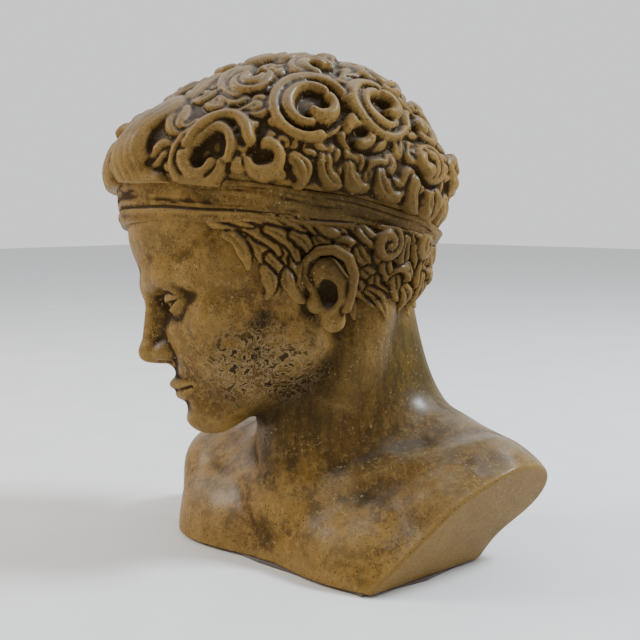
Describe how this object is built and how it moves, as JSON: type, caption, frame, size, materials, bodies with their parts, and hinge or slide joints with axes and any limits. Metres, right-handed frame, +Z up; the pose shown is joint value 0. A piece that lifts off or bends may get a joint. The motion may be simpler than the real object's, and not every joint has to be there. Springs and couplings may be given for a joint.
{
  "type": "portrait bust",
  "caption": "Life-size hollow-cast bust of a curly-haired youth with a headband, on a flat felted base, patinated brown.",
  "frame": {"origin": "the point under the steel rod on the felt's underside, near the middle of the base", "axes": "+Z up, the chest faces -Y, +X towards the figure's own left shoulder"},
  "size_m": [0.3274, 0.2606, 0.4006],
  "materials": {
    "patinated_casting": "pale cast marble under a brown wax patina: golden ridges, near-black recesses, a soft sheen on the high parts",
    "lining_plaster": "rough plaster laid over hessian scrim, matt",
    "wad_plaster": "hand-packed casting plaster, matt",
    "rod_steel": "plain drawn steel, dull",
    "zinc_steel": "bright zinc plate",
    "pine": "sawn softwood",
    "plywood": "birch plywood with a sanded face",
    "felt": "dark brown wool felt"
  },
  "bodies": {
    "root": {"shoulder_section": "patinated_casting", "head_section": "patinated_casting", "scrim_lining": "lining_plaster", "joint_wad": "wad_plaster", "crown_wad": "wad_plaster", "armature_rod": "rod_steel", "rod_nuts": "zinc_steel", "rod_washers": "zinc_steel", "left_batten": "pine", "right_batten": "pine", "base_board": "plywood", "board_screws": "zinc_steel", "felt_sheet": "felt"}
  },
  "joints": []
}
